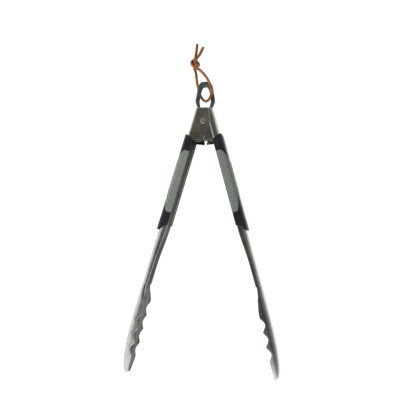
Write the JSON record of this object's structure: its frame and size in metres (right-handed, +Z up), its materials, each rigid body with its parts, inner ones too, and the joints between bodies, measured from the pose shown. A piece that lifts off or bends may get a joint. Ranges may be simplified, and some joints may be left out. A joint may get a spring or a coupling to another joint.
{
  "type": "spring loaded kitchen tongs",
  "caption": "Spring-loaded locking kitchen tongs: channel-shaped steel arms with toothed jaws, soft grips, a pull-ring lock and a leather hanging lace.",
  "frame": {"origin": "middle of the tongs' length and width, on the floor plane that the grip pads' rear faces lie on; the lanyard is not counted", "axes": "+Y from the jaws' tips to the pull ring, +X to the right arm seen from the front, +Z up along the pivot, out of the front cheeks"},
  "size_m": [0.2052, 0.4554, 0.029],
  "materials": {
    "polished_stainless_steel": "polished stainless sheet with a fine grain",
    "zinc_plated_steel": "satin plated pins and rivets",
    "spring_steel": "bright drawn wire",
    "ring_plastic": "satin dark grey moulding",
    "black_plastic": "satin black moulding with a fine texture",
    "soft_rubber": "matt grey-green soft overmould",
    "leather": "brown round leather lace"
  },
  "bodies": {
    "pivot": {"pivot_rivet": "zinc_plated_steel", "rivet_washer": "zinc_plated_steel", "spring_bush": "zinc_plated_steel", "torsion_spring": "spring_steel"},
    "left_arm": {"arm_left": "polished_stainless_steel", "grip_shell_left": "black_plastic", "grip_end_left": "black_plastic", "grip_pad_left": "soft_rubber"},
    "right_arm": {"arm_right": "polished_stainless_steel", "grip_shell_right": "black_plastic", "grip_end_right": "black_plastic", "grip_pad_right": "soft_rubber"},
    "lock": {"lock_slide": "polished_stainless_steel", "lock_crossbar": "zinc_plated_steel", "pull_ring": "ring_plastic", "ring_rivet_left": "zinc_plated_steel", "ring_rivet_right": "zinc_plated_steel", "lace_loop": "leather", "lace_knot": "leather", "lace_tail_long": "leather", "lace_tail_short": "leather"}
  },
  "joints": [
    {"name": "left_arm_hinge", "type": "hinge", "parent": "pivot", "child": "left_arm", "pos_m": [0, 0.13962, 0.0145], "axis": [0, 0, 1], "range_deg": [0, 16], "stiffness_Nm_per_rad": 0.4, "springref_deg": -28.65, "deforming": ["torsion_spring"]},
    {"name": "right_arm_hinge", "type": "hinge", "parent": "pivot", "child": "right_arm", "pos_m": [0, 0.13962, 0.0145], "axis": [0, 0, -1], "range_deg": [0, 16], "stiffness_Nm_per_rad": 0.4, "springref_deg": -28.65, "deforming": ["torsion_spring"]},
    {"name": "lock_slide_travel", "type": "slide", "parent": "pivot", "child": "lock", "axis": [0, 1, 0], "range_m": [0, 0.009]}
  ],
  "couplings": [
    {"joint": "right_arm_hinge", "follows": "left_arm_hinge", "ratio": 1}
  ]
}
